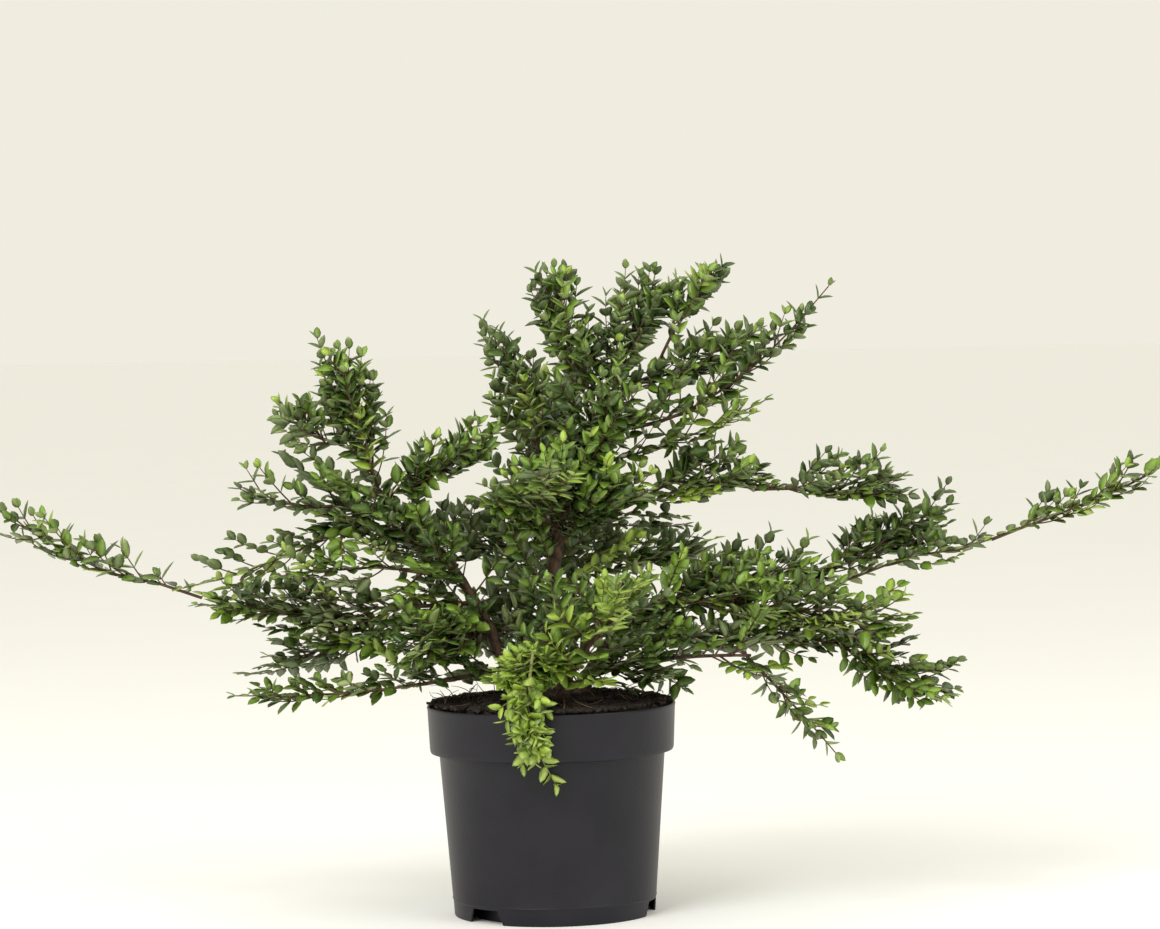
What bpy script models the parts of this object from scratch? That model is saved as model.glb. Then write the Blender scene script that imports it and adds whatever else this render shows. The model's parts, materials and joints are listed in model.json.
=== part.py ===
"""A box honeysuckle shrub growing in a round black nursery pot.

Metres, +Z up. The origin is the centre of the pot's flat underside, +X is the shrub's right
and -Y its front. Branch sizes are given in millimetres and scaled once, where they are used.
"""

import math
from typing import NamedTuple

import bmesh
import bpy
from mathutils import Matrix, Vector, noise

MM = 0.001
GAP = 0.0003
CUT_CLEARANCE = 0.0005
WELD = 0.000001
UP = Vector((0, 0, 1))
DEPTH = Vector((0, 1, 0))
UPRIGHT = 0.8
PATH_STEP = 0.01

# Pot, a blow-moulded nursery container
POT_HEIGHT = 0.161
RIM_TOP_RADIUS = 0.0950
RIM_LIP_RADIUS = 0.0936
RIM_BAND = 0.036
LIP_ROUND = 0.0022
SHOULDER_RADIUS = 0.0867
FOOT_RADIUS = 0.0771
WALL = 0.0014
FLOOR_THICKNESS = 0.0018
FLOOR_RADIUS = 0.0630
CHANNEL_HEIGHT = 0.0120
ROUND_STEPS = 40
TURN_WELD = 0.00005
NOTCH_BEARINGS = (-43, 77, 197)
NOTCH_HEIGHT = 0.0110
NOTCH_FOOT_WIDTH = 0.0370
NOTCH_TOP_WIDTH = 0.0250
NOTCH_REACH = 0.0200

# Potting mix, filled a little above the rim
SOIL_CROWN = 0.1665
SOIL_EDGE = 0.1575
SOIL_FLAT_RADIUS = 0.0500

# Limbs
STEM_SIDES_RESOLUTION = 2
BOUGH_SIDES_RESOLUTION = 1
LIMB_POINTS = 7
FLARE_SPREAD = 1.8
FLARE_HEIGHT = 0.07
BOUGH_ROOT_RADIUS = 0.0022
BOUGH_TAPER = 0.55
BOUGH_INTO_MASS = 0.16

# Foliage
MASS_SIDES = 7
MASS_RINGS = 8
UNEVENNESS = 0.42
LUMP_SIZE = 22 * MM
LUMP_SEEDS = (7.3, 3.1)
MASS_BLUNTNESS = 0.62
MASS_TAPER = 0.30
END_GROWTH = 2


class Stem(NamedTuple):
    """A main stem from the soil to its fork. Points and sizes are in millimetres."""

    name: str
    foot: tuple
    fork: tuple
    bow: tuple
    radius: float
    tip_radius: float


class Branch(NamedTuple):
    """A branch that leaves its parent at a share of the parent's length and runs to its tip.

    The share `bare` of it is a bare limb and the rest is a mass of foliage, `width` across and
    `height` thick. `bow` is how far its middle stands off the straight line. Millimetres.
    """

    name: str
    parent: str
    at: float
    tip: tuple
    bow: tuple
    bare: float
    width: float
    height: float
    tone: str = "middle"


STEMS = (
    Stem("center", (-1, 0), (47, 0, 405), (-15, 0, 0), 6.0, 2.4),
    Stem("left", (-27, -5), (-133, -5, 329), (14, 0, 9), 4.6, 2.2),
    Stem("right", (22, 6), (112, 10, 240), (-10, 0, 16), 4.4, 2.2),
    Stem("back", (4, 24), (-8, 92, 325), (4, -8, 10), 4.2, 2.0),
    Stem("front", (8, -22), (52, -98, 236), (-4, 6, 4), 3.4, 1.8),
)

BRANCHES = (
    # Top of the shrub
    Branch("top_left", "center", 0.93, (9, 0, 495), (-7, 0, -3), 0, 54, 38),
    Branch("top_center", "center", 0.98, (86, 15, 488), (8, 4, -5), 0, 58, 44),
    Branch("top_right", "top_center", 0.45, (137, 0, 493), (4, 0, -4), 0, 26, 24, "fresh"),
    Branch("arch", "center", 0.86, (217, -25, 477), (0, 0, -32), 0.42, 32, 28),
    Branch("upper_right", "center", 0.97, (166, 32, 445), (0, 0, -14), 0, 52, 42),
    Branch("shoulder", "center", 0.74, (167, -22, 391), (0, 0, -8), 0, 44, 34, "fresh"),
    Branch("center_upper", "center", 0.62, (58, -34, 404), (-8, -14, 0), 0, 58, 42, "dark"),
    Branch("center_left", "center", 0.45, (-39, 15, 444), (10, 0, 0), 0.42, 42, 34),
    Branch("center_front", "center", 0.52, (-50, -44, 312), (6, -12, 10), 0, 62, 50, "fresh"),
    Branch("center_right", "center", 0.55, (84, -46, 318), (-4, -14, 4), 0, 58, 46),
    # Upper left, above the leaning stem
    Branch("upper_left", "left", 0.98, (-157, -10, 436), (-2, 0, 0), 0, 66, 52),
    Branch("upper_left_outer", "upper_left", 0.25, (-200, -16, 392), (-4, 0, -4), 0, 44, 36),
    Branch("upper_left_side", "left", 0.95, (-40, -26, 369), (0, 0, -5), 0, 36, 32),
    Branch("left_middle", "left", 0.58, (-166, -38, 312), (4, -12, 6), 0, 52, 44, "dark"),
    # Left shoots
    Branch("left_small", "left", 0.97, (-231, -46, 332), (0, 0, -12), 0.42, 30, 26),
    Branch("left_long", "left", 0.93, (-278, -30, 257), (0, 0, -10), 0, 40, 36),
    Branch("left_long_tip", "left_long", 1.0, (-438, -34, 342), (0, 0, -20), 0, 34, 32),
    Branch("left_flat_upper", "left", 0.50, (-200, -62, 267), (0, 0, 8), 0.34, 34, 24),
    Branch("left_flat", "left", 0.40, (-273, 32, 240), (0, 0, -4), 0.26, 44, 34),
    Branch("left_low", "left", 0.25, (-226, 62, 188), (0, 0, 8), 0.26, 50, 34),
    Branch("left_lowest", "left", 0.12, (-237, -60, 177), (0, 0, -7), 0.32, 38, 28),
    Branch("left_inner", "left", 0.28, (-110, -64, 200), (0, 0, 8), 0, 48, 38),
    # Right shoots
    Branch("right_upper", "center", 0.50, (176, 4, 324), (0, 0, 16), 0.36, 62, 52),
    Branch("right_upper_outer", "right_upper", 1.0, (271, -16, 331), (0, 0, -8), 0, 50, 46),
    Branch("right_middle", "right", 0.62, (218, 18, 260), (0, 0, 6), 0, 64, 48),
    Branch("right_outer", "right_middle", 0.88, (309, 24, 306), (0, 0, -8), 0, 46, 40),
    Branch("right_long", "right_middle", 0.95, (354, -16, 288), (0, 0, -10), 0, 40, 34),
    Branch("right_long_tip", "right_long", 1.0, (475, -20, 338), (0, 0, -4), 0, 30, 28, "fresh"),
    Branch("right_fan", "right", 0.92, (273, -64, 229), (0, -8, -8), 0, 66, 50, "fresh"),
    Branch("right_lower", "right", 0.30, (224, -6, 203), (0, 0, 4), 0.30, 62, 40),
    Branch("right_low", "right_lower", 0.90, (304, -32, 166), (0, 0, 2), 0, 50, 40),
    Branch("droop", "right", 0.16, (152, -47, 199), (0, 0, 3), 1, 0, 0),
    Branch("right_droop", "droop", 0.97, (213, -73, 127), (0, 0, 2), 0, 36, 26, "fresh"),
    Branch("right_foot", "right", 0.12, (86, -46, 188), (0, -6, 0), 0, 42, 28, "dark"),
    # Towards the front
    Branch("front_light", "front", 0.60, (70, -150, 262), (-2, 0, 4), 0, 60, 46, "lime"),
    Branch("front_low", "front", 0.30, (-34, -98, 188), (2, -8, 6), 0, 54, 34, "lime"),
    Branch("front_sprig", "front_low", 0.80, (-13, -106, 128), (0, -12, 12), 0, 27, 9, "lime"),
    Branch("front_high", "center", 0.66, (4, -132, 350), (-6, 0, -8), 0, 60, 44, "fresh"),
    # Behind
    Branch("back_top", "back", 0.96, (8, 104, 412), (4, 4, 0), 0, 58, 52),
    Branch("back_center", "back", 0.70, (28, 226, 300), (0, 0, -6), 0, 60, 46),
    Branch("back_left", "back", 0.60, (-112, 158, 292), (0, 8, -8), 0, 58, 46),
    Branch("back_right", "back", 0.55, (132, 160, 276), (0, 8, -8), 0, 62, 48),
    Branch("back_low_left", "back", 0.30, (-98, 148, 204), (0, 0, 0), 0, 54, 38, "dark"),
    Branch("back_low_right", "back", 0.32, (112, 150, 206), (0, 0, 0), 0, 56, 38, "dark"),
)

# Colour (linear) and roughness of each finish
FINISHES = {
    "pot": ((0.030, 0.029, 0.034), 0.45),
    "soil": ((0.020, 0.014, 0.011), 0.95),
    "bark": ((0.150, 0.080, 0.050), 0.85),
    "dark": ((0.030, 0.070, 0.018), 0.50),
    "middle": ((0.070, 0.130, 0.030), 0.50),
    "fresh": ((0.130, 0.210, 0.035), 0.50),
    "lime": ((0.250, 0.380, 0.040), 0.50),
}


def clear_scene():
    for old in list(bpy.data.objects):
        bpy.data.objects.remove(old, do_unlink=True)


def new_collection(name):
    collection = bpy.data.collections.new(name)
    bpy.context.scene.collection.children.link(collection)
    return collection


def give_finish(piece, finish):
    """Gives the piece a material of its own."""
    color, roughness = FINISHES[finish]
    material = bpy.data.materials.new(piece.name)
    material.use_nodes = True
    shader = material.node_tree.nodes["Principled BSDF"]
    shader.inputs["Base Color"].default_value = (*color, 1)
    shader.inputs["Roughness"].default_value = roughness
    shader.inputs["Metallic"].default_value = 0
    piece.data.materials.clear()
    piece.data.materials.append(material)


def place(name, mesh, collection, origin=None):
    """An object for the mesh, with its own origin at the point given."""
    piece = bpy.data.objects.new(name, mesh)
    if origin is not None:
        mesh.transform(Matrix.Translation(-origin))
        piece.location = origin
    collection.objects.link(piece)
    return piece


def as_cutter(piece):
    piece.hide_render = True
    piece.display_type = "WIRE"


def turned(name, profile, collection):
    """A closed turned solid. The profile runs out from the axis, up inside, down outside."""
    mesh = bpy.data.meshes.new(name)
    bm = bmesh.new()
    points = [bm.verts.new((radius, 0, z)) for radius, z in profile]
    for first, second in zip(points, points[1:]):
        bm.edges.new((first, second))
    bm.to_mesh(mesh)
    bm.free()
    piece = place(name, mesh, collection)
    screw = piece.modifiers.new("turn", "SCREW")
    screw.steps = ROUND_STEPS
    screw.render_steps = ROUND_STEPS
    screw.use_merge_vertices = True
    screw.merge_threshold = TURN_WELD
    screw.use_smooth_shade = True
    return piece


def outer_radius(z):
    """The pot's tapering outside below its rim band."""
    shoulder_z = POT_HEIGHT - RIM_BAND
    return FOOT_RADIUS + (SHOULDER_RADIUS - FOOT_RADIUS) * z / shoulder_z


def make_pot(parts, cutters):
    """A thin-walled tapering pot with a stepped rim band and three drain notches at its foot."""
    band_foot = POT_HEIGHT - RIM_BAND
    roof = CHANNEL_HEIGHT + FLOOR_THICKNESS
    profile = (
        (0, FLOOR_THICKNESS),
        (FLOOR_RADIUS - FLOOR_THICKNESS, FLOOR_THICKNESS),
        (FLOOR_RADIUS - FLOOR_THICKNESS, roof),
        (outer_radius(roof) - WALL, roof),
        (SHOULDER_RADIUS - WALL, band_foot - WALL),
        (RIM_LIP_RADIUS - WALL, band_foot + WALL),
        (RIM_TOP_RADIUS - WALL, POT_HEIGHT),
        (RIM_TOP_RADIUS, POT_HEIGHT),
        (RIM_LIP_RADIUS, band_foot + LIP_ROUND),
        (RIM_LIP_RADIUS - LIP_ROUND, band_foot),
        (SHOULDER_RADIUS, band_foot - LIP_ROUND / 2),
        (FOOT_RADIUS, 0),
        (FOOT_RADIUS - WALL, 0),
        (outer_radius(CHANNEL_HEIGHT) - WALL, CHANNEL_HEIGHT),
        (FLOOR_RADIUS, CHANNEL_HEIGHT),
        (FLOOR_RADIUS, 0),
        (0, 0),
    )
    pot = turned("pot", profile, parts)
    for number, bearing in enumerate(NOTCH_BEARINGS, 1):
        cutter = notch_cutter(f"notch_cutter_{number}", math.radians(bearing), cutters)
        cut = pot.modifiers.new(f"notch_{number}", "BOOLEAN")
        cut.operation = "DIFFERENCE"
        cut.solver = "EXACT"
        cut.object = cutter
    give_finish(pot, "pot")
    return pot


def notch_cutter(name, bearing, cutters):
    """A block with slanting sides, centred on the pot's foot. Bearings turn from the front to +X."""
    mesh = bpy.data.meshes.new(name)
    bm = bmesh.new()
    bmesh.ops.create_cube(bm, size=1)
    middle = FOOT_RADIUS
    for vert in bm.verts:
        top = vert.co.z > 0
        width = NOTCH_TOP_WIDTH if top else NOTCH_FOOT_WIDTH
        height = NOTCH_HEIGHT if top else -NOTCH_HEIGHT / 4
        vert.co = (vert.co.x * width, -middle + vert.co.y * NOTCH_REACH, height)
    bm.to_mesh(mesh)
    bm.free()
    cutter = place(name, mesh, cutters)
    cutter.rotation_euler.z = bearing
    as_cutter(cutter)
    return cutter


def make_soil(parts):
    """The root ball: potting mix that fills the pot, flat under the stems and lower at the wall."""
    floor_z = FLOOR_THICKNESS + GAP
    ledge_z = CHANNEL_HEIGHT + FLOOR_THICKNESS + GAP
    ball_radius = FLOOR_RADIUS - FLOOR_THICKNESS - GAP
    band_foot = POT_HEIGHT - RIM_BAND
    slope = (RIM_TOP_RADIUS - RIM_LIP_RADIUS) / RIM_BAND
    edge_radius = RIM_LIP_RADIUS + slope * (SOIL_EDGE - band_foot) - WALL - 2 * GAP
    halfway_radius = (SOIL_FLAT_RADIUS + edge_radius) / 2
    profile = (
        (0, SOIL_CROWN),
        (SOIL_FLAT_RADIUS, SOIL_CROWN),
        (halfway_radius, (SOIL_CROWN * 2 + SOIL_EDGE) / 3),
        (edge_radius, SOIL_EDGE),
        (RIM_LIP_RADIUS - WALL - 2 * GAP, band_foot + WALL + GAP),
        (SHOULDER_RADIUS - WALL - 2 * GAP, band_foot - WALL),
        (outer_radius(ledge_z) - WALL - 2 * GAP, ledge_z),
        (ball_radius, ledge_z),
        (ball_radius, floor_z),
        (0, floor_z),
    )
    soil = turned("soil", profile, parts)
    give_finish(soil, "soil")
    return soil


def bowed(start, end, bow):
    """A path as a function: the point at a share of the way from start to end."""

    def at(share):
        return start.lerp(end, share) + bow * (4 * share * (1 - share))

    return at


def direction(path, share):
    return (path(share + PATH_STEP) - path(share - PATH_STEP)).normalized()


def limb_mesh(name, path, radii, resolution, grow):
    """A round tapering limb along the path, as a welded closed mesh.

    `radii` holds (share of the path, radius). The whole limb is larger all round by `grow`.
    """
    ends = (0, len(radii) - 1)
    curve = bpy.data.curves.new(name, "CURVE")
    curve.dimensions = "3D"
    curve.bevel_depth = 1
    curve.bevel_resolution = resolution
    curve.use_fill_caps = True
    spline = curve.splines.new("POLY")
    spline.points.add(len(radii) - 1)
    for number, (share, radius) in enumerate(radii):
        outward = grow if number == ends[1] else -grow if number == ends[0] else 0
        spline.points[number].co = (*(path(share) + direction(path, share) * outward), 1)
        spline.points[number].radius = radius + grow
    holder = bpy.data.objects.new(name, curve)
    bpy.context.scene.collection.objects.link(holder)
    bpy.context.view_layer.update()
    graph = bpy.context.evaluated_depsgraph_get()
    mesh = bpy.data.meshes.new_from_object(holder.evaluated_get(graph))
    bpy.data.objects.remove(holder)
    bpy.data.curves.remove(curve)
    bm = bmesh.new()
    bm.from_mesh(mesh)
    bmesh.ops.remove_doubles(bm, verts=bm.verts, dist=WELD)
    bmesh.ops.recalc_face_normals(bm, faces=bm.faces)
    bmesh.ops.triangulate(bm, faces=bm.faces, quad_method="FIXED")
    bm.to_mesh(mesh)
    bm.free()
    mesh.shade_smooth()
    return mesh


def cut_level(mesh, level):
    """Cuts the mesh off flat at a height and closes the cut."""
    bm = bmesh.new()
    bm.from_mesh(mesh)
    everything = bm.verts[:] + bm.edges[:] + bm.faces[:]
    bmesh.ops.bisect_plane(
        bm, geom=everything, plane_co=(0, 0, level), plane_no=UP, clear_inner=True
    )
    bmesh.ops.holes_fill(bm, edges=bm.edges)
    bmesh.ops.recalc_face_normals(bm, faces=bm.faces)
    bm.to_mesh(mesh)
    bm.free()


def stem_shape(stem, path, grow):
    """A main stem: root flare at the soil, then an even taper to its fork."""
    radii = [(-FLARE_HEIGHT, stem.radius * FLARE_SPREAD * MM)]
    for number in range(LIMB_POINTS + 1):
        share = number / LIMB_POINTS
        taper = stem.radius + (stem.tip_radius - stem.radius) * share
        flare = 1 + (FLARE_SPREAD - 1) * math.exp(-share / FLARE_HEIGHT)
        radii.append((share, taper * flare * MM))
    mesh = limb_mesh(f"stem_{stem.name}", path, radii, STEM_SIDES_RESOLUTION, grow)
    cut_level(mesh, SOIL_CROWN + GAP)
    return mesh


def bough_shape(branch, path, grow):
    """The bare limb of a branch, from inside its parent to just inside its foliage."""
    last = min(branch.bare + BOUGH_INTO_MASS, 1) if branch.bare < 1 else 1
    radii = []
    for number in range(LIMB_POINTS):
        share = last * number / (LIMB_POINTS - 1)
        radii.append((share, BOUGH_ROOT_RADIUS * (1 - (1 - BOUGH_TAPER) * share / last)))
    return limb_mesh(f"bough_{branch.name}", path, radii, BOUGH_SIDES_RESOLUTION, grow)


def mass_shape(branch, path, seed, grow):
    """One uneven closed solid of leaves, drawn out along the leafy part of its branch.

    A ball's rings become sections of the branch, its poles the two ends. Larger by `grow`.
    """
    mesh = bpy.data.meshes.new(f"mass_{branch.name}")
    bm = bmesh.new()
    bmesh.ops.create_uvsphere(bm, u_segments=MASS_SIDES, v_segments=MASS_RINGS, radius=1)
    chord = (path(1) - path(branch.bare)).normalized()
    reference = DEPTH if abs(chord.dot(UP)) > UPRIGHT else UP
    lump_offset = Vector((seed * LUMP_SEEDS[0], seed * LUMP_SEEDS[1], 0))
    for vert in bm.verts:
        share = math.acos(max(-1, min(1, -vert.co.z))) / math.pi
        around = math.atan2(vert.co.y, vert.co.x)
        along = branch.bare + (1 - branch.bare) * share
        center = path(along)
        ahead = direction(path, along)
        side = ahead.cross(reference).normalized()
        lift = ahead.cross(side)
        across = side * math.cos(around) * branch.width + lift * math.sin(around) * branch.height
        lump = noise.noise((center + across * MM / 2) / LUMP_SIZE + lump_offset)
        swell = (4 * share * (1 - share)) ** MASS_BLUNTNESS
        narrowing = 1 + MASS_TAPER - 2 * MASS_TAPER * share
        across *= swell * narrowing * (1 + UNEVENNESS * lump) * MM / 2
        if across.length > 0:
            across += across.normalized() * grow
        vert.co = center + across + ahead * grow * END_GROWTH * (2 * share - 1)
    bmesh.ops.triangulate(bm, faces=bm.faces, quad_method="FIXED")
    bm.to_mesh(mesh)
    bm.free()
    return mesh


def largest_body(mesh):
    """Keeps the mesh's largest connected body and drops the crumbs that a cut can leave."""
    bm = bmesh.new()
    bm.from_mesh(mesh)
    left = set(bm.verts)
    bodies = []
    while left:
        body = {left.pop()}
        edge = list(body)
        while edge:
            vert = edge.pop()
            for link in vert.link_edges:
                other = link.other_vert(vert)
                if other in left:
                    left.discard(other)
                    body.add(other)
                    edge.append(other)
        bodies.append(body)

    def extent(body):
        lows = [min(vert.co[axis] for vert in body) for axis in range(3)]
        highs = [max(vert.co[axis] for vert in body) for axis in range(3)]
        return sum(highs) - sum(lows)

    keep = max(bodies, key=extent)
    crumbs = [vert for vert in bm.verts if vert not in keep]
    bmesh.ops.delete(bm, geom=crumbs, context="VERTS")
    bm.to_mesh(mesh)
    bm.free()


def boxes_meet(first, second):
    """Whether the upright boxes round two lists of corners meet."""
    return all(
        min(corner[axis] for corner in first) <= max(corner[axis] for corner in second)
        and min(corner[axis] for corner in second) <= max(corner[axis] for corner in first)
        for axis in range(3)
    )


def world_corners(piece):
    return [piece.matrix_world @ Vector(corner) for corner in piece.bound_box]


def cut_clear(piece, cutters):
    """Cuts the piece clear of the cutters that it could meet, and keeps its main body."""
    bpy.context.view_layer.update()
    own = world_corners(piece)
    meeting = [cutter for cutter in cutters if boxes_meet(own, world_corners(cutter))]
    if not meeting:
        return
    for cutter in meeting:
        cut = piece.modifiers.new(cutter.name, "BOOLEAN")
        cut.operation = "DIFFERENCE"
        cut.solver = "EXACT"
        cut.object = cutter
    graph = bpy.context.evaluated_depsgraph_get()
    mesh = bpy.data.meshes.new_from_object(piece.evaluated_get(graph))
    piece.modifiers.clear()
    old = piece.data
    mesh.name = old.name
    piece.data = mesh
    bpy.data.meshes.remove(old)
    largest_body(mesh)


def make_plant(parts, cutters):
    """The stems, then the boughs that leave them, then the foliage, each cut clear of the last."""
    paths = {}
    for stem in STEMS:
        foot = Vector((*stem.foot, SOIL_CROWN / MM))
        paths[stem.name] = bowed(foot * MM, Vector(stem.fork) * MM, Vector(stem.bow) * MM)
    for branch in BRANCHES:
        start = paths[branch.parent](branch.at)
        paths[branch.name] = bowed(start, Vector(branch.tip) * MM, Vector(branch.bow) * MM)
    stems = {}
    for stem in STEMS:
        make_stem(stem, paths[stem.name], stems, parts, cutters)
    masses = {}
    for seed, branch in enumerate(BRANCHES):
        if branch.bare < 1:
            path = paths[branch.name]
            shape = mass_shape(branch, path, seed, CUT_CLEARANCE)
            masses[branch.name] = place(f"mass_{branch.name}_cutter", shape, cutters, path(0))
            as_cutter(masses[branch.name])
    boughs = {}
    for branch in BRANCHES:
        if branch.bare > 0:
            make_bough(branch, paths[branch.name], stems, masses, boughs, parts, cutters)
    for seed, branch in enumerate(BRANCHES):
        if branch.bare < 1:
            others = [bough for name, bough in boughs.items() if name != branch.name]
            earlier = [masses[name] for name in list(masses) if name in grown_before(seed)]
            limbs = list(stems.values())
            make_mass(branch, paths[branch.name], seed, limbs + others + earlier, parts)


def grown_before(seed):
    """The names of the branches before this one in the list."""
    return {branch.name for branch in BRANCHES[:seed]}


def make_stem(stem, path, stems, parts, cutters):
    """A main stem, cut clear of the stems before it, and the cutter that clears a way for it."""
    piece = place(f"stem_{stem.name}", stem_shape(stem, path, 0), parts, path(0))
    give_finish(piece, "bark")
    cut_clear(piece, list(stems.values()))
    shape = stem_shape(stem, path, CUT_CLEARANCE)
    stems[stem.name] = place(f"stem_{stem.name}_cutter", shape, cutters, path(0))
    as_cutter(stems[stem.name])


def make_bough(branch, path, stems, masses, boughs, parts, cutters):
    """A bare limb, cut off flush with the stem that carries it and the foliage that it enters."""
    piece = place(f"bough_{branch.name}", bough_shape(branch, path, 0), parts, path(0))
    give_finish(piece, "bark")
    ends = [masses[name] for name in (branch.name, branch.parent) if name in masses]
    cut_clear(piece, list(stems.values()) + list(boughs.values()) + ends)
    shape = bough_shape(branch, path, CUT_CLEARANCE)
    boughs[branch.name] = place(f"bough_{branch.name}_cutter", shape, cutters, path(0))
    as_cutter(boughs[branch.name])


def make_mass(branch, path, seed, meeting, parts):
    """The foliage of a branch, cut clear of the limbs and of the foliage made before it."""
    piece = place(f"mass_{branch.name}", mass_shape(branch, path, seed, 0), parts, path(0))
    give_finish(piece, branch.tone)
    cut_clear(piece, meeting)


def main():
    clear_scene()
    parts = new_collection("Box honeysuckle in a pot")
    cutters = new_collection("Cutters")
    make_pot(parts, cutters)
    make_soil(parts)
    make_plant(parts, cutters)
    holder = bpy.data.objects.new("shrub_in_pot", None)
    parts.objects.link(holder)
    for piece in parts.objects:
        if piece is not holder:
            piece.parent = holder


main()
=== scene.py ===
"""The looks of a box honeysuckle shrub in a round nursery pot: bark, twigs, leaves, soil and pot."""

import json
import math
import random

import bmesh
import bpy
import numpy as np
from mathutils import Matrix, Vector, noise
from mathutils.bvhtree import BVHTree


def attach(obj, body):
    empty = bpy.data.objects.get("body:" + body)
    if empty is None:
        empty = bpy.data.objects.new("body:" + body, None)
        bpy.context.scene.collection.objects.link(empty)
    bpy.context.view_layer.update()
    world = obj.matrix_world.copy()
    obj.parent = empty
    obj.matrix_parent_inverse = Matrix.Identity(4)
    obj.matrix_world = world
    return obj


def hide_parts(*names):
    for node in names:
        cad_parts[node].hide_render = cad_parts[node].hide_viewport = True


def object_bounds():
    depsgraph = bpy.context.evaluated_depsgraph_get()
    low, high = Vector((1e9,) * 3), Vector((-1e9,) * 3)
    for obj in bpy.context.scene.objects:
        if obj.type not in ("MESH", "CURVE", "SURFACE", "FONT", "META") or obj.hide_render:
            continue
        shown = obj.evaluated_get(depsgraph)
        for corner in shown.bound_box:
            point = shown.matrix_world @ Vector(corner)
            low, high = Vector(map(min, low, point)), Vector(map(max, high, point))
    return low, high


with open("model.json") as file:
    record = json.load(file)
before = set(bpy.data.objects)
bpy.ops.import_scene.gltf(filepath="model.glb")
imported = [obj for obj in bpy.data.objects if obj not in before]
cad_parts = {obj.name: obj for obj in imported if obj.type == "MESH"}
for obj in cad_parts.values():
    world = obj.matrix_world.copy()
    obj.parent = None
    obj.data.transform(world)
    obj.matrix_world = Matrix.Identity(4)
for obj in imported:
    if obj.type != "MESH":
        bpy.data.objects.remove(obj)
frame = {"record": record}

cad_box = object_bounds()
LOW, HIGH = cad_box
UP = Vector((0, 0, 1))
SLOTS = {part["node"]: part["material_slot"] for part in frame["record"]["subparts"]}
LIMB_NAMES = ("stem_", "bough_")
MERGE = 1e-6
rng = random.Random(31)

# The four tones of leaf, oldest first, and how each mass deals them out to its sprays
TONES = ("leaves_dark", "leaves_middle", "leaves_fresh", "leaves_lime")
TONE_SPREAD = {
    "leaves_dark": (0.62, 0.30, 0.08, 0.00),
    "leaves_middle": (0.32, 0.44, 0.20, 0.04),
    "leaves_fresh": (0.20, 0.36, 0.34, 0.10),
    "leaves_lime": (0.02, 0.10, 0.30, 0.58),
}

# One leaf. Its length and thickness are in metres. Half its width and its droop are shares of its length.
# A station is a share of the length and the fullness there, and the fold is a share of half the width.
LEAF_LENGTH = (0.0132, 0.0182)
LEAF_WIDTH = 0.27
LEAF_WIDTH_SPREAD = (0.88, 1.12)
LEAF_STATIONS = ((0.19, 0.74), (0.46, 1.0), (0.78, 0.68))
LEAF_DROOP = (0.02, 0.12)
LEAF_FOLD = 0.28
LEAF_THICKNESS = 0.0003
RING_POINTS = 4
EDGE, RIB_ABOVE, OTHER_EDGE, RIB_BELOW = range(RING_POINTS)
LEAF_POINTS = 14
LEAF_FACES = 16
MOST_LEAVES = 7500

# Leaf pairs along a shoot. Up to LEVEL_RISE they stand in two ranks, and past STEEP_RISE they cross.
PAIR_SPACING = 0.0076
LEVEL_RISE, STEEP_RISE = 0.35, 0.75
PAIR_TURN = 0.3
TIP_SHRINK = 0.35
FRESH_TIP, FRESH_CHANCE = 0.8, 0.5
LEAF_FORWARD, TIP_FORWARD = (0.45, 0.85), 0.7
LEAF_RAISE = (-0.10, 0.30)
LEAF_TILT = 0.35

# Shoots of a mass of foliage. The slacks are how far one may pass the outline. The stretch is the share
# of the leader where they begin and the share that they cover. HEART is the shrub's inner middle: a
# mass that no limb reaches starts at its end nearer to it.
LEADER_POINTS = 12
LEADER_SHARES, LEADER_NEAR = (0.25, 0.5, 0.75), 0.2
LEADER_RADII, LEADER_SIDES = (0.0013, 0.0005), 5
LEADER_PAIRS, SPARSE_LEADER_PAIRS = 1.1, 1.35
SHOOT_SPACING = 0.0035
SHOOT_LENGTH = (0.035, 0.090)
SHOOT_SLACKS = (0.000, 0.003, 0.008, 0.014)
SHOOT_STRETCH = (0.02, 0.80)
SHOOT_STEPS = 8
SHOOT_RADII, TWIG_SIDES = (0.0008, 0.0004), 4
SHOOT_TURN, TURN_SPREAD = 2.4, 0.4
SHOOT_FLATNESS = 0.9
SHOOT_FORWARD = (0.8, 1.7)
SHOOT_BEND, SHOOT_RISE = 0.08, 0.10
SPRAY_TILT = 0.5
OUTWARD_TILT = 0.55
DEPTH_PULL = 2
ROOT_OVERLAP, SHOOT_OVERLAP = 0.006, 0.017
LIMB_REACH = 0.012
HEART = Vector((0.01, 0.02, 0.26))
BOX_MARGIN = 0.001

# Masses filled close to their outline, and thinly grown ones
NEAT = ("front_sprig", "front_low", "right_droop")
SPARSE = ("left_long_tip", "right_long_tip", "arch", "left_long", "right_long", "left_small",
          "shoulder", "left_lowest", "right_droop", "left_flat_upper", "front_high", "front_light")
NEAT_SLACK = 0.005
NEAT_SPACING, SPARSE_SPACING = 0.5, 2.6
SHORT_SHOOTS = 0.6
LEAST_POINTS, NEAT_LEAST_POINTS = 3, 2

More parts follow.
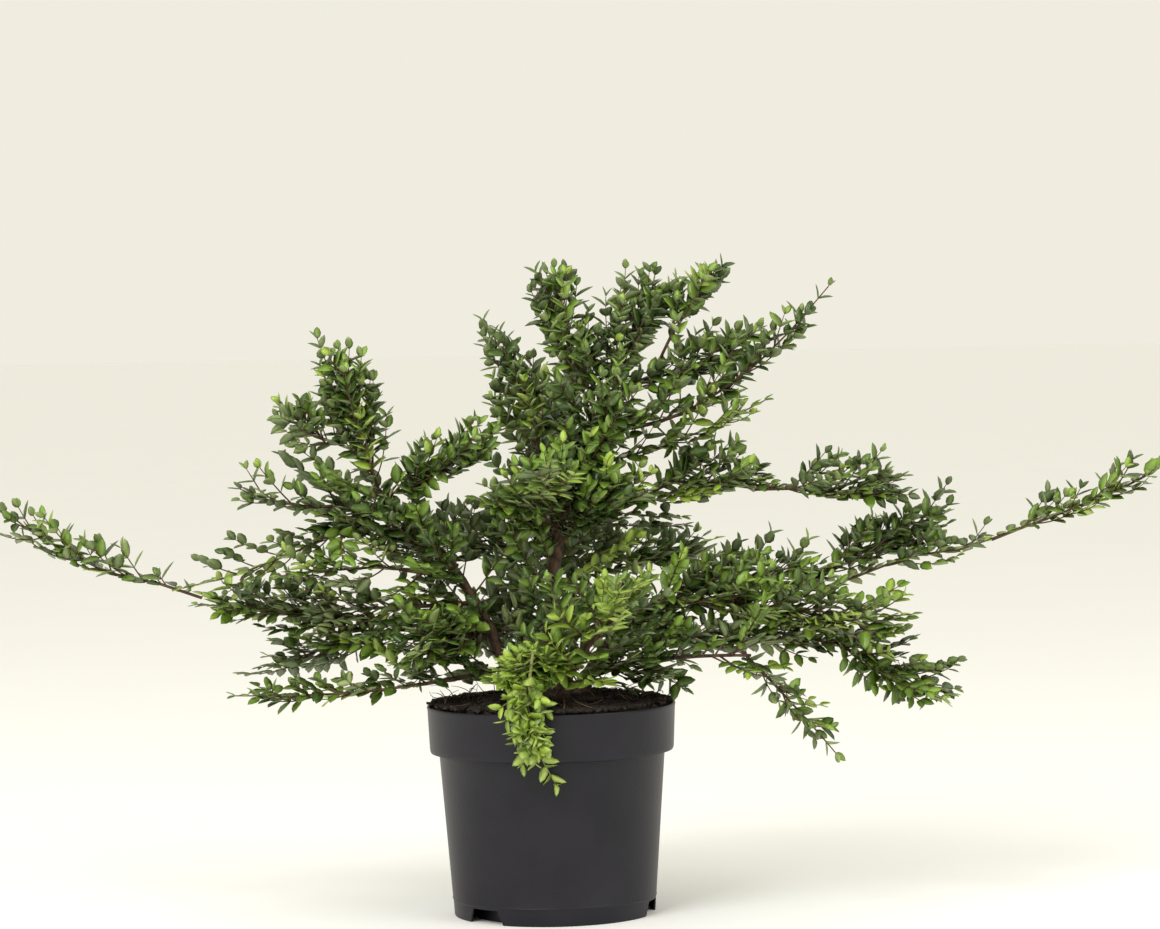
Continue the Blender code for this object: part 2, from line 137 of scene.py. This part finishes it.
# Shoots straight from a limb. A stem's first STEM_BARE carries none, and none hangs below LOWEST_SHOOT.
POT_MOUTH = Vector((0, 0, 0.165))
LIMB_STATIONS, LIMB_NEAR = 8, 0.12
LIMB_SHOOT_SPACING = 0.0062
LIMB_SHOOT_LENGTH = (0.030, 0.075)
LIMB_SHOOT_FORWARD = (0.3, 1.0)
LIMB_SHOOT_LIFT, LIMB_SHOOT_RISE = 0.15, 0.10
LIMB_SHOOT_STEPS, LIMB_SHOOT_LEAST_POINTS = 6, 5
LIMB_SHOOT_RADII = (0.0009, 0.0004)
LIMB_TURN_SPREAD = 0.5
LIMB_FLATNESS = 0.45
LOWEST_SHOOT = 0.172
STEM_BARE = 0.12

# Bark, with its grain finer across a limb than up it
BARK_CUTS = 3
BARK_GRAIN = (420, 420, 110)
STEM_RELIEF, BOUGH_RELIEF = 0.0009, 0.0003

# Pot. Its stretches are (radius, height), from the axis inside it over the rim to the axis underneath.
AXIS = 1e-5
POT_STEPS = 160
POT_WELD = 3e-5
POT_SHARP = 35
POT_FLOOR = [(AXIS, 0.0018), (0.0612, 0.0018), (0.0612, 0.0138)]
POT_INSIDE = [(0.0768, 0.0138), (0.0853, 0.1236), (0.0922, 0.1264), (0.0936, 0.1606)]
POT_LIP = [(0.0943, 0.1612), (0.0952, 0.1609), (0.0955, 0.1598), (0.0951, 0.1585)]
POT_BAND_EDGE = [(0.0938, 0.1290), (0.0936, 0.1268), (0.0930, 0.1254), (0.0918, 0.1250)]
POT_SHOULDER = [(0.0872, 0.1249), (0.0866, 0.1240)]
POT_FOOT_RING = [(0.0783, 0.0142), (0.0786, 0.0136), (0.0784, 0.0128), (0.0779, 0.0122)]
POT_FOOT = [(0.0772, 0.0008), (0.0766, 0), (0.0757, 0)]
POT_UNDERSIDE = [(0.0766, 0.0120), (0.0630, 0.0120), (0.0630, 0), (AXIS, 0)]
NOTCH_BEARINGS = (-43, 77, 197)
NOTCH_TOP, NOTCH_FOOT = (0.025, 0.011), (0.037, -0.003)
NOTCH_RADIUS, NOTCH_DEPTH = 0.0771, 0.02

# Soil
SOIL_RADIUS, SOIL_TOP, SOIL_DROP = 0.0922, 0.1660, 0.0075
SOIL_FLAT_SHARE, SOIL_EDGE_SHARE = 0.55, 0.45
SOIL_RINGS, SOIL_STEPS = 40, 120
SOIL_UNDERSIDE_RADIUS, SOIL_UNDERSIDE = 0.0905, 0.140
LUMPS = ((0.0042, 120), (0.0026, 380))
CROWN_RADIUS = 0.055
CHIPS, CHIP_REACH = 1500, 0.0915
CHIP_CROWN, CHIP_EDGE = 0.1675, 0.1635
CHIP_SIZES = ((0.0012, 0.0055), (0.0007, 0.0019), (0.0004, 0.0010))
CHIP_LEAN = 0.9
CHIP_FACES = ((0, 2, 3, 1), (4, 5, 7, 6), (0, 1, 5, 4), (2, 6, 7, 3), (0, 4, 6, 2), (1, 3, 7, 5))
FIBRES, FIBRE_REACH = 90, 0.093
FIBRE_CROWN, FIBRE_EDGE = 0.1690, 0.1650
FIBRE_SLOPE = (-0.1, 0.5)
FIBRE_ARC = 0.004
FIBRE_LENGTH = (0.006, 0.022)
FIBRE_RADII = (0.0005, 0.0002)
FIBRE_STEPS = 4

# Studio
FLOOR_REACH = 60
WORLD_COLOR = (0.871, 0.847, 0.745, 1)
LIGHTS = (("key", (-1.4, -2.2, 2.4), 60), ("fill", (2.2, -1.6, 1.6), 22))
LIGHT_SIZE = 1.6
LIGHT_TARGET = Vector((0, 0, 0.2))
CAMERA_PLACE = (0.0257, -3.0, 0.45)
CAMERA_LENS = 121.5
CAMERA_DIP, CAMERA_TURN = 2.02, -1.10

# Finishes
MOTTLE_DETAIL = 5
MOTTLE_BLEND = (0.35, 0.68)
GRAIN_FINENESS = 6
RELIEF_HEIGHT = 0.0006
LEAF_MOTTLE = 60
LEAF_RELIEF = 0.3
UNDERSIDE_ROUGHNESS = 0.55


def finish(name, first, second, scale, roughness, bump, bump_scale=None, gloss=0.5):
    """Two colours mottled by noise on object coordinates, with a bump from finer noise."""
    material = bpy.data.materials.new(name)
    material.use_nodes = True
    nodes, links = material.node_tree.nodes, material.node_tree.links
    shader = nodes["Principled BSDF"]
    place = nodes.new("ShaderNodeTexCoord")
    mottle = nodes.new("ShaderNodeTexNoise")
    mottle.inputs["Scale"].default_value = scale
    mottle.inputs["Detail"].default_value = MOTTLE_DETAIL
    ramp = nodes.new("ShaderNodeValToRGB")
    for element, position, color in zip(ramp.color_ramp.elements, MOTTLE_BLEND, (first, second)):
        element.position = position
        element.color = (*color, 1)
    grain = nodes.new("ShaderNodeTexNoise")
    grain.inputs["Scale"].default_value = bump_scale or scale * GRAIN_FINENESS
    relief = nodes.new("ShaderNodeBump")
    relief.inputs["Strength"].default_value = bump
    relief.inputs["Distance"].default_value = RELIEF_HEIGHT
    for texture in (mottle, grain):
        links.new(place.outputs["Object"], texture.inputs["Vector"])
    links.new(mottle.outputs["Fac"], ramp.inputs["Fac"])
    links.new(ramp.outputs["Color"], shader.inputs["Base Color"])
    links.new(grain.outputs["Fac"], relief.inputs["Height"])
    links.new(relief.outputs["Normal"], shader.inputs["Normal"])
    shader.inputs["Roughness"].default_value = roughness
    shader.inputs["Specular IOR Level"].default_value = gloss
    return material


def leaf_finish(name, first, second, roughness):
    """A leaf's upper face, glossier the older it is."""
    return finish(name, first, second, scale=LEAF_MOTTLE, roughness=roughness, bump=LEAF_RELIEF)


def underside_finish(name, first, second):
    """A leaf's paler, duller lower face."""
    return finish(name, first, second, scale=LEAF_MOTTLE, roughness=UNDERSIDE_ROUGHNESS, bump=LEAF_RELIEF)


LEAF_FINISHES = {
    "leaves_dark": leaf_finish("dark leaf", (0.042, 0.085, 0.014), (0.100, 0.170, 0.028), 0.27),
    "leaves_middle": leaf_finish("green leaf", (0.095, 0.170, 0.020), (0.185, 0.290, 0.045), 0.28),
    "leaves_fresh": leaf_finish("fresh leaf", (0.160, 0.290, 0.032), (0.280, 0.430, 0.065), 0.30),
    "leaves_lime": leaf_finish("young leaf", (0.270, 0.420, 0.040), (0.420, 0.560, 0.090), 0.40),
}
UNDERSIDES = {
    "leaves_dark": underside_finish("dark leaf underside", (0.090, 0.130, 0.045), (0.150, 0.200, 0.080)),
    "leaves_middle": underside_finish("green leaf underside", (0.150, 0.200, 0.075), (0.230, 0.290, 0.120)),
    "leaves_fresh": underside_finish("fresh leaf underside", (0.220, 0.290, 0.090), (0.320, 0.400, 0.140)),
    "leaves_lime": underside_finish("young leaf underside", (0.320, 0.440, 0.080), (0.420, 0.540, 0.130)),
}
BARK = finish("flaky bark", (0.026, 0.015, 0.010), (0.150, 0.085, 0.052),
              scale=170, roughness=0.85, bump=1.0)
TWIG = finish("young twig", (0.060, 0.028, 0.016), (0.150, 0.085, 0.040),
              scale=90, roughness=0.65, bump=0.6)
SOIL = finish("potting mix", (0.006, 0.004, 0.003), (0.040, 0.026, 0.018),
              scale=240, roughness=0.95, bump=1.0)
PALE_TWIG = finish("pale young twig", (0.160, 0.190, 0.050), (0.260, 0.250, 0.090),
                   scale=90, roughness=0.6, bump=0.4)
POT = finish("moulded plastic", (0.0085, 0.0075, 0.0120), (0.0125, 0.0112, 0.0170),
             scale=22, roughness=0.42, bump=0.22, bump_scale=420, gloss=0.28)


def new_piece(name, points, faces, material, stands_for, smooth=True):
    """A piece of the object made from points and faces, with its finish, body and slot."""
    mesh = bpy.data.meshes.new(name)
    mesh.from_pydata([tuple(p) for p in points], [], [tuple(f) for f in faces])
    mesh.validate()
    if smooth:
        mesh.shade_smooth()
    mesh.materials.append(material)
    piece = bpy.data.objects.new(name, mesh)
    bpy.context.scene.collection.objects.link(piece)
    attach(piece, "root")
    if stands_for:
        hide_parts(*stands_for)
    return piece


def cad_mesh(node):
    """A merged copy of a solid's mesh."""
    bm = bmesh.new()
    bm.from_mesh(bpy.data.objects[node].data)
    bmesh.ops.remove_doubles(bm, verts=bm.verts, dist=MERGE)
    return bm


def cad_points(node):
    """The corners of a solid."""
    bm = cad_mesh(node)
    spots = [vert.co.copy() for vert in bm.verts]
    bm.free()
    return spots


def center_of(spots):
    """The mean of some points."""
    return sum(spots, Vector()) / len(spots)


def far_ends(spots):
    """The middle of a long form and the two points furthest apart along it."""
    middle = center_of(spots)
    one = max(spots, key=lambda p: (p - middle).length)
    other = max(spots, key=lambda p: (p - one).length)
    return middle, one, other


def middle_at(spots, root, tip, share, near):
    """The middle of the points that lie near this share of the way from root to tip."""
    axis, reach = (tip - root).normalized(), (tip - root).length
    close = [p for p in spots if abs((p - root).dot(axis) / reach - share) < near]
    return center_of(close) if close else root.lerp(tip, share)


def smooth_path(points, count):
    """Evenly numbered points along a line through the given ones."""
    steps = np.linspace(0, len(points) - 1, count)
    table = np.array(points)
    axes = [np.interp(steps, range(len(points)), table[:, axis]) for axis in range(3)]
    return [Vector(p) for p in zip(*axes)]


class Tubes:
    """Round closed twigs gathered into one mesh."""

    def __init__(self):
        self.points, self.faces = [], []

    def add(self, path, radii, sides):
        """A twig along a path, from its first radius to its last."""
        thick, thin = radii
        first = len(self.points)
        ahead = (path[-1] - path[0]).normalized()
        side = ahead.orthogonal().normalized()
        lift = ahead.cross(side)
        for number, center in enumerate(path):
            radius = thick + (thin - thick) * number / (len(path) - 1)
            for k in range(sides):
                turn = math.tau * k / sides
                self.points.append(center + (side * math.cos(turn) + lift * math.sin(turn)) * radius)
        for ring in range(len(path) - 1):
            low = first + ring * sides
            for k in range(sides):
                after = (k + 1) % sides
                self.faces.append((low + k, low + after, low + sides + after, low + sides + k))
        last = first + (len(path) - 1) * sides
        self.faces.append([first + k for k in reversed(range(sides))])
        self.faces.append([last + k for k in range(sides)])


class Leaves:
    """Small ovate blades, folded along the midrib and closed underneath."""

    def __init__(self):
        self.points, self.faces = [], []

    def add(self, foot, ahead, normal, length):
        """A leaf from its foot, with its upper face towards the normal."""
        first = len(self.points)
        side = ahead.cross(normal).normalized()
        normal = side.cross(ahead).normalized()
        width = length * LEAF_WIDTH * rng.uniform(*LEAF_WIDTH_SPREAD)
        droop = length * rng.uniform(*LEAF_DROOP)
        self.points.append(foot)
        for share, fullness in LEAF_STATIONS:
            rib = foot + ahead * (length * share) - normal * (droop * share * share)
            edge = side * (width * fullness)
            rise = normal * (width * LEAF_FOLD * fullness)
            self.points += [rib - edge + rise, rib, rib + edge + rise, rib - normal * LEAF_THICKNESS]
        self.points.append(foot + ahead * length - normal * droop)
        self.faces += self.blade(first, RIB_ABOVE)
        self.faces += [face[::-1] for face in self.blade(first, RIB_BELOW)]

    def blade(self, first, rib):
        """The faces of one side, whose midrib is each ring's point number `rib`."""
        start = first + 1 + EDGE
        end = start + RING_POINTS * (len(LEAF_STATIONS) - 1)
        tip = first + LEAF_POINTS - 1
        faces = [(first, start + rib, start), (first, start + OTHER_EDGE, start + rib)]
        for a in range(start, end, RING_POINTS):
            b = a + RING_POINTS
            faces += [(a, a + rib, b + rib, b), (a + rib, a + OTHER_EDGE, b + OTHER_EDGE, b + rib)]
        return faces + [(end, end + rib, tip), (end + rib, end + OTHER_EDGE, tip)]


leaves = {tone: Leaves() for tone in TONES}
twigs = Tubes()
pale_twigs = Tubes()


def leaf_pairs(path, flat, tone, spacing=PAIR_SPACING):
    """Opposite pairs along a shoot, in two ranks on a level shoot and crosswise on a rising one."""
    length = sum((after - before).length for before, after in zip(path, path[1:]))
    pairs = max(2, int(length / spacing))
    line = smooth_path(path, pairs + 1)
    spray = rng.choices(TONES, TONE_SPREAD[tone])[0]
    younger = TONES[min(TONES.index(spray) + 1, len(TONES) - 1)]
    for number, spot in enumerate(line[1:], 1):
        share = number / pairs
        ahead = (line[number] - line[number - 1]).normalized()
        rising = min(1, max(0, (abs(ahead.z) - LEVEL_RISE) / (STEEP_RISE - LEVEL_RISE)))
        side = ahead.cross(flat).normalized()
        turn = rng.uniform(-PAIR_TURN, PAIR_TURN) + rising * (number % 2) * math.pi / 2
        side = Matrix.Rotation(turn, 3, ahead) @ side
        size = rng.uniform(*LEAF_LENGTH) * (1 - TIP_SHRINK * share ** 5)
        fresher = share > FRESH_TIP and rng.random() < FRESH_CHANCE
        for sign in (-1, 1):
            forward = rng.uniform(*LEAF_FORWARD) + TIP_FORWARD * share ** 3
            lean = (ahead * forward + side * sign + flat * rng.uniform(*LEAF_RAISE)).normalized()
            upper = flat * (1 - rising) + (ahead - lean * ahead.dot(lean)) * rising
            tilt = upper + Vector([rng.uniform(-LEAF_TILT, LEAF_TILT) for _ in range(3)])
            leaves[younger if fresher else spray].add(spot, lean, tilt.normalized(), size)


def limb_line(node):
    """Points along the middle of a limb, from the end nearer the pot."""
    spots = cad_points(node)
    _, one, other = far_ends(spots)
    root, tip = sorted((one, other), key=lambda end: (end - POT_MOUTH).length)
    last = LIMB_STATIONS - 1
    return [middle_at(spots, root, tip, step / last, LIMB_NEAR) for step in range(LIMB_STATIONS)]


def grow_limb(node):
    """Leafy side shoots along a limb that the masses leave bare."""
    line = limb_line(node)
    axis = (line[-1] - line[0]).normalized()
    reach = (line[-1] - line[0]).length
    first = STEM_BARE if node.startswith("stem_") else 0.0
    count = int(reach * (1 - first) / LIMB_SHOOT_SPACING)
    path = smooth_path(line, count + 2)
    steps = LIMB_SHOOT_STEPS
    for number in range(count):
        start = path[int((first + (1 - first) * number / count) * count)]
        side = axis.orthogonal().normalized()
        turn = number * SHOOT_TURN + rng.uniform(-LIMB_TURN_SPREAD, LIMB_TURN_SPREAD)
        outward = Matrix.Rotation(turn, 3, axis) @ side
        outward.z *= LIMB_FLATNESS
        forward = axis * rng.uniform(*LIMB_SHOOT_FORWARD)
        way = (forward + outward.normalized() + UP * LIMB_SHOOT_LIFT).normalized()
        length = rng.uniform(*LIMB_SHOOT_LENGTH)
        rise = LIMB_SHOOT_RISE * length
        shoot = [start + way * (length * k / steps) + UP * (rise * (k / steps) ** 2)
                 for k in range(steps + 1)]
        shoot = [spot for spot in shoot if spot.z > LOWEST_SHOOT]
        if len(shoot) < LIMB_SHOOT_LEAST_POINTS:
            continue
        twigs.add(shoot, LIMB_SHOOT_RADII, TWIG_SIDES)
        leaf_pairs(shoot[1:], (UP + outward * OUTWARD_TILT).normalized(), rng.choice(TONES[:3]))


def ends_of_mass(spots, limbs):
    """A mass's middle, root, tip and how far its leader starts before the root."""
    middle, one, other = far_ends(spots)
    gaps = [limbs.find_nearest(end)[3] for end in (one, other)]
    if min(gaps) < LIMB_REACH:
        root, tip = (one, other) if gaps[0] < gaps[1] else (other, one)
        return middle, root, tip, ROOT_OVERLAP
    root, tip = sorted((one, other), key=lambda end: (end - HEART).length)
    return middle, root, tip, SHOOT_OVERLAP


def in_box(point):
    """Whether a point lies inside the whole object's box."""
    return all(low + BOX_MARGIN < at < high - BOX_MARGIN for low, at, high in zip(LOW, point, HIGH))


def shoot_path(start, way, length, axis, outline, slack):
    """A bending shoot that stops where it would leave the mass's outline by more than the slack."""
    path = [start]
    bend = axis * SHOOT_BEND + UP * SHOOT_RISE
    for _ in range(SHOOT_STEPS):
        way = (way + bend).normalized()
        after = path[-1] + way * (length / SHOOT_STEPS)
        spot, normal, _, _ = outline.find_nearest(after)
        if (after - spot).dot(normal) >= slack or not in_box(after):
            break
        path.append(after)
    return path


def grow_mass(node, limbs):
    """A leader through the mass's middle, and side shoots that stay inside its outline."""
    bm = cad_mesh(node)
    outline = BVHTree.FromBMesh(bm)
    bm.free()
    spots = cad_points(node)
    middle, root, tip, overlap = ends_of_mass(spots, limbs)
    axis = (tip - root).normalized()
    reach = (tip - root).length
    knots = [middle_at(spots, root, tip, share, LEADER_NEAR) for share in LEADER_SHARES]
    leader = smooth_path([root, *knots, tip], LEADER_POINTS)
    outward = Vector((middle.x, middle.y * DEPTH_PULL, 0)).normalized()
    flat = (UP + outward * OUTWARD_TILT).normalized()
    flat = (flat - axis * axis.dot(flat)).normalized()
    side = axis.cross(flat).normalized()
    name = node.removeprefix("mass_")
    sparse, neat = name in SPARSE, name in NEAT
    young = pale_twigs if SLOTS[node] == "leaves_lime" else twigs
    start = root - axis * overlap
    young.add([start] + leader[1:], LEADER_RADII, LEADER_SIDES)
    leader_pairs = SPARSE_LEADER_PAIRS if sparse else LEADER_PAIRS
    leaf_pairs([start] + leader, flat, SLOTS[node], PAIR_SPACING * leader_pairs)
    spacing = SHOOT_SPACING * (SPARSE_SPACING if sparse else NEAT_SPACING if neat else 1)
    count = int(reach / spacing)
    last = LEADER_POINTS - 1
    for number in range(count):
        share = SHOOT_STRETCH[0] + SHOOT_STRETCH[1] * number / count
        begin = int(share * last)
        start = leader[begin].lerp(leader[min(begin + 1, last)], share * last % 1)
        turn = number * SHOOT_TURN + rng.uniform(-TURN_SPREAD, TURN_SPREAD)
        across = side * math.cos(turn) + flat * math.sin(turn) * SHOOT_FLATNESS
        way = (axis * rng.uniform(*SHOOT_FORWARD) + across).normalized()
        length = rng.uniform(*SHOOT_LENGTH) * (SHORT_SHOOTS if sparse or neat else 1)
        slack = NEAT_SLACK if neat else rng.choice(SHOOT_SLACKS)
        path = shoot_path(start, way, length, axis, outline, slack)
        if len(path) < (NEAT_LEAST_POINTS if neat else LEAST_POINTS):
            continue
        young.add(path, SHOOT_RADII, TWIG_SIDES)
        tilt = Vector([rng.uniform(-SPRAY_TILT, SPRAY_TILT) for _ in range(3)])
        leaf_pairs(path if neat else path[1:], (flat + tilt).normalized(), SLOTS[node])


def place_leaves(tone, stands_for):
    """The leaves of one tone as pieces of at most MOST_LEAVES, with upper face and underside apart."""
    points, faces = leaves[tone].points, leaves[tone].faces
    count = len(points) // LEAF_POINTS
    for number, first in enumerate(range(0, count, MOST_LEAVES), 1):
        last = min(first + MOST_LEAVES, count)
        low = first * LEAF_POINTS
        moved = [[k - low for k in face] for face in faces[first * LEAF_FACES:last * LEAF_FACES]]
        own = points[low:last * LEAF_POINTS]
        piece = new_piece(f"{tone}_{number}", own, moved, LEAF_FINISHES[tone], stands_for)
        piece.data.materials.append(UNDERSIDES[tone])
        sides = np.tile(np.repeat([0, 1], LEAF_FACES // 2), last - first)
        piece.data.polygons.foreach_set("material_index", sides.astype(np.int32))


def make_foliage():
    """Every mass, then every limb, grows its shoots, and each tone of leaf becomes its own pieces."""
    masses = sorted(node for node in SLOTS if node.startswith("mass_"))
    limb_nodes = [node for node in SLOTS if node.startswith(LIMB_NAMES)]
    limbs = bmesh.new()
    for node in limb_nodes:
        limbs.from_mesh(bpy.data.objects[node].data)
    limb_tree = BVHTree.FromBMesh(limbs)
    limbs.free()
    for node in masses:
        grow_mass(node, limb_tree)
    for node in limb_nodes:
        grow_limb(node)
    for tone in TONES:
        place_leaves(tone, [node for node in masses if SLOTS[node] == tone])
    new_piece("twigs", twigs.points, twigs.faces, TWIG, [])
    new_piece("pale_twigs", pale_twigs.points, pale_twigs.faces, PALE_TWIG, [])


def make_bark():
    """The limbs with flaky relief: long plates raised along the grain."""
    limbs = [node for node in SLOTS if node.startswith(LIMB_NAMES)]
    points, faces = [], []
    for node in limbs:
        bm = cad_mesh(node)
        bmesh.ops.subdivide_edges(bm, edges=bm.edges, cuts=BARK_CUTS, smooth=0.0, use_grid_fill=False)
        bmesh.ops.triangulate(bm, faces=bm.faces)
        bm.normal_update()
        first = len(points)
        relief = STEM_RELIEF if node.startswith("stem_") else BOUGH_RELIEF
        for vert in bm.verts:
            spot = Vector([at * grain for at, grain in zip(vert.co, BARK_GRAIN)])
            points.append(vert.co + vert.normal * (noise.noise(spot) * relief))
        faces += [[first + vert.index for vert in face.verts] for face in bm.faces]
        bm.free()
    new_piece("bark", points, faces, BARK, limbs)


def on_circle(radius, turn, z):
    """A point at this radius, turn and height about the pot's axis."""
    return Vector((radius * math.cos(turn), radius * math.sin(turn), z))


def lathe(profile, steps, wobble=None):
    """A turned form: a ring of points for each (radius, height) of the profile, and faces between rings."""
    points, faces = [], []
    for number, (radius, z) in enumerate(profile):
        for k in range(steps):
            spot = on_circle(radius, math.tau * k / steps, z)
            points.append(spot + (wobble(spot, number) if wobble else Vector()))
        if number:
            low = (number - 1) * steps
            for k in range(steps):
                after = (k + 1) % steps
                faces.append((low + k, low + steps + k, low + steps + after, low + after))
    return points, faces


def helper_object(name, bm):
    """An object to cut or to be cut, which doesn't stay in the scene."""
    mesh = bpy.data.meshes.new(name)
    bm.to_mesh(mesh)
    bm.free()
    helper = bpy.data.objects.new(name, mesh)
    bpy.context.scene.collection.objects.link(helper)
    return helper


def pot_wall():
    """The turned wall, closed at its axis."""
    profile = (POT_FLOOR + POT_INSIDE + POT_LIP + POT_BAND_EDGE + POT_SHOULDER + POT_FOOT_RING
               + POT_FOOT + POT_UNDERSIDE)
    points, faces = lathe(profile, POT_STEPS)
    mesh = bpy.data.meshes.new("turned")
    mesh.from_pydata(points, [], faces)
    bm = bmesh.new()
    bm.from_mesh(mesh)
    bmesh.ops.remove_doubles(bm, verts=bm.verts, dist=POT_WELD)
    bmesh.ops.recalc_face_normals(bm, faces=bm.faces)
    return helper_object("wall", bm)


def notch_block(bearing):
    """A block across the foot, narrower at its top."""
    bm = bmesh.new()
    bmesh.ops.create_cube(bm, size=1)
    for vert in bm.verts:
        width, z = NOTCH_TOP if vert.co.z > 0 else NOTCH_FOOT
        vert.co = (vert.co.x * width, -NOTCH_RADIUS + vert.co.y * NOTCH_DEPTH, z)
    bmesh.ops.rotate(bm, verts=bm.verts, matrix=Matrix.Rotation(math.radians(bearing), 3, "Z"))
    return helper_object("block", bm)


def make_pot():
    """The pot's wall with a rounded rim, a stepped band, a faint foot ring and three notches."""
    wall = pot_wall()
    blocks = [notch_block(bearing) for bearing in NOTCH_BEARINGS]
    for block in blocks:
        cut = wall.modifiers.new("notch", "BOOLEAN")
        cut.operation, cut.object = "DIFFERENCE", block
    bpy.context.view_layer.update()
    cut_wall = wall.evaluated_get(bpy.context.evaluated_depsgraph_get())
    cut_mesh = bpy.data.meshes.new_from_object(cut_wall)
    points = [vert.co.copy() for vert in cut_mesh.vertices]
    faces = [tuple(face.vertices) for face in cut_mesh.polygons]
    for helper in (wall, *blocks):
        bpy.data.objects.remove(helper)
    piece = new_piece("pot_wall", points, faces, POT, ["pot"])
    piece.data.set_sharp_from_angle(angle=math.radians(POT_SHARP))


def soil_surface():
    """The mix's lumpy top, lower towards the wall, with a flat underside."""
    profile = []
    for ring in range(SOIL_RINGS + 1):
        share = ring / SOIL_RINGS
        drop = SOIL_DROP * max(0, share - SOIL_FLAT_SHARE) / SOIL_EDGE_SHARE
        profile.append((AXIS + SOIL_RADIUS * ring / SOIL_RINGS, SOIL_TOP - drop))
    profile += [(SOIL_UNDERSIDE_RADIUS, SOIL_UNDERSIDE), (AXIS, SOIL_UNDERSIDE)]

    def lumps(spot, number):
        if number > SOIL_RINGS:
            return Vector()
        coarse, fine = [height * noise.noise(spot * scale) for height, scale in LUMPS]
        return UP * (coarse + fine)

    return lathe(profile, SOIL_STEPS, lumps)


def scattered(reach, crown, edge):
    """A random place on the mix, at one height on its crown and at another near the wall."""
    radius, turn = reach * math.sqrt(rng.random()), rng.uniform(0, math.tau)
    return on_circle(radius, turn, crown if radius < CROWN_RADIUS else edge)


def add_chip(points, faces):
    """A small flat block of bark."""
    center = scattered(CHIP_REACH, CHIP_CROWN, CHIP_EDGE)
    sizes = [rng.uniform(*spread) for spread in CHIP_SIZES]
    spin = Matrix.Rotation(rng.uniform(0, math.tau), 3, "Z")
    spin = spin @ Matrix.Rotation(rng.uniform(-CHIP_LEAN, CHIP_LEAN), 3, "X")
    first = len(points)
    for k in range(8):
        corner = [size * (1 if k >> axis & 1 else -1) for axis, size in enumerate(sizes)]
        points.append(center + spin @ Vector(corner))
    faces += [[first + k for k in face] for face in CHIP_FACES]


def add_fibre(fibres):
    """A thin bowed root or shred."""
    spot = scattered(FIBRE_REACH, FIBRE_CROWN, FIBRE_EDGE)
    way = Vector((rng.uniform(-1, 1), rng.uniform(-1, 1), rng.uniform(*FIBRE_SLOPE))).normalized()
    arc = way.orthogonal() * rng.uniform(-FIBRE_ARC, FIBRE_ARC)
    length = rng.uniform(*FIBRE_LENGTH)
    steps = FIBRE_STEPS
    path = [spot + way * (length * k / steps) + arc * (k * (steps - k) / steps) for k in range(steps + 1)]
    fibres.add(path, FIBRE_RADII, TWIG_SIDES)


def make_soil():
    """Lumpy mix with bark chips and a few fibres lying over it."""
    points, faces = soil_surface()
    for _ in range(CHIPS):
        add_chip(points, faces)
    fibres = Tubes()
    for _ in range(FIBRES):
        add_fibre(fibres)
    new_piece("fibres", fibres.points, fibres.faces, TWIG, [])
    new_piece("soil_top", points, faces, SOIL, ["soil"], smooth=False)


def make_floor():
    """A pale cream floor."""
    cream = finish("cream paper", (0.975, 0.975, 0.965), (0.985, 0.985, 0.975),
                   scale=3, roughness=0.9, bump=0.0)
    corners = [(x * FLOOR_REACH, y * FLOOR_REACH, 0) for x, y in ((-1, -1), (1, -1), (1, 1), (-1, 1))]
    mesh = bpy.data.meshes.new("floor")
    mesh.from_pydata(corners, [], [(0, 1, 2, 3)])
    mesh.materials.append(cream)
    floor = bpy.data.objects.new("floor", mesh)
    bpy.context.scene.collection.objects.link(floor)


def make_lights():
    """Cream light from all round, a wide key light from the left and a weaker one from the right."""
    world = bpy.data.worlds.new("studio")
    world.use_nodes = True
    background = world.node_tree.nodes["Background"]
    background.inputs["Color"].default_value = WORLD_COLOR
    background.inputs["Strength"].default_value = 1.0
    bpy.context.scene.world = world
    bpy.context.scene.view_settings.view_transform = "Standard"
    for name, spot, watts in LIGHTS:
        data = bpy.data.lights.new(name, "AREA")
        data.size, data.energy = LIGHT_SIZE, watts
        lamp = bpy.data.objects.new(name, data)
        lamp.location = spot
        lamp.rotation_euler = (LIGHT_TARGET - lamp.location).to_track_quat("-Z", "Y").to_euler()
        bpy.context.scene.collection.objects.link(lamp)


def make_camera():
    """The camera a little above the plant's middle, dipped and turned as in the picture."""
    camera = bpy.data.objects.new("camera", bpy.data.cameras.new("camera"))
    camera.data.lens = CAMERA_LENS
    look = Matrix.Rotation(math.radians(90 - CAMERA_DIP), 4, "X")
    look = look @ Matrix.Rotation(math.radians(CAMERA_TURN), 4, "Z")
    camera.matrix_world = Matrix.Translation(CAMERA_PLACE) @ look
    bpy.context.scene.collection.objects.link(camera)
    bpy.context.scene.camera = camera


make_floor()
make_lights()
make_camera()
make_foliage()
make_bark()
make_soil()
make_pot()
